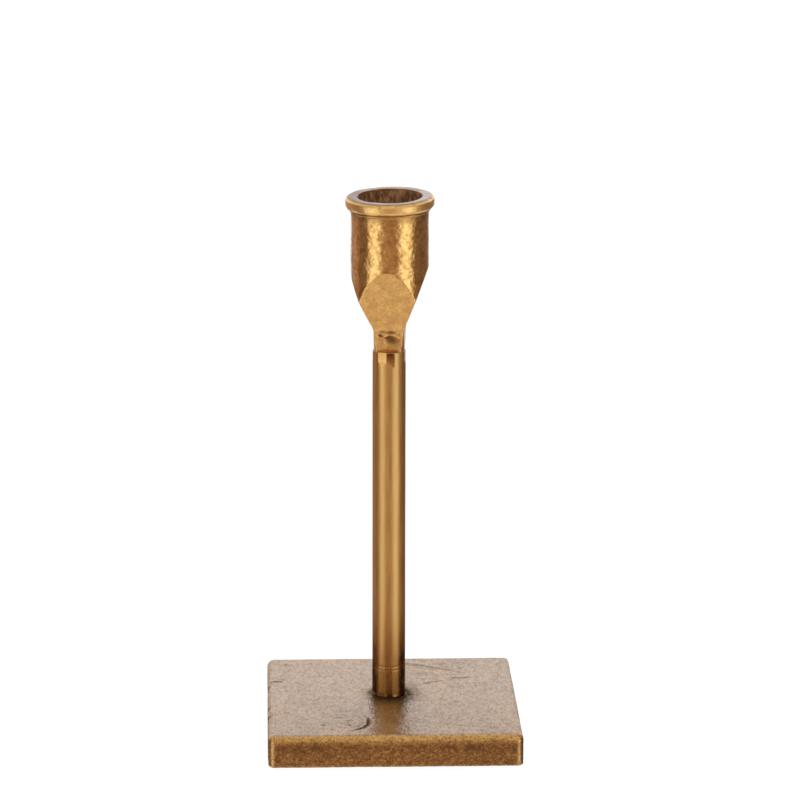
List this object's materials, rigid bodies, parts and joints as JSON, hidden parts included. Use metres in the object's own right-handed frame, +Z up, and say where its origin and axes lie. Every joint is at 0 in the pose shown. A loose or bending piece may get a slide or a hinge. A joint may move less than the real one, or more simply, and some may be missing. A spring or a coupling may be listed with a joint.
{
  "type": "candlestick",
  "caption": "Candlestick with a square cast foot, a round tube stem and a bead-rimmed cup ground to a square neck, holding a taper candle upright.",
  "frame": {"origin": "on the table surface, under the middle of the square foot", "axes": "+Z up along the stem, front of the candlestick towards -Y, +X to the right seen from the front"},
  "size_m": [0.09, 0.09, 0.1963],
  "materials": {
    "foot_brass": "sand-cast, antique brown patina under clear lacquer, edges rubbed bright",
    "stem_brass": "drawn tube, antique patina, polished along its length",
    "cup_brass": "cast, orange-peel skin on the barrel, ground satin faces below, antique patina in the hollows",
    "plug_brass": "turned, bare",
    "zinc_steel": "zinc plated",
    "pad_felt": "pressed wool felt, self-adhesive"
  },
  "bodies": {
    "root": {"base_plate": "foot_brass", "stem_tube": "stem_brass", "candle_cup": "cup_brass", "base_plug": "plug_brass", "base_bolt": "zinc_steel", "spring_washer": "zinc_steel", "plain_washer": "zinc_steel", "foot_pad_front_left": "pad_felt", "foot_pad_front_right": "pad_felt", "foot_pad_rear_left": "pad_felt", "foot_pad_rear_right": "pad_felt"}
  },
  "joints": []
}
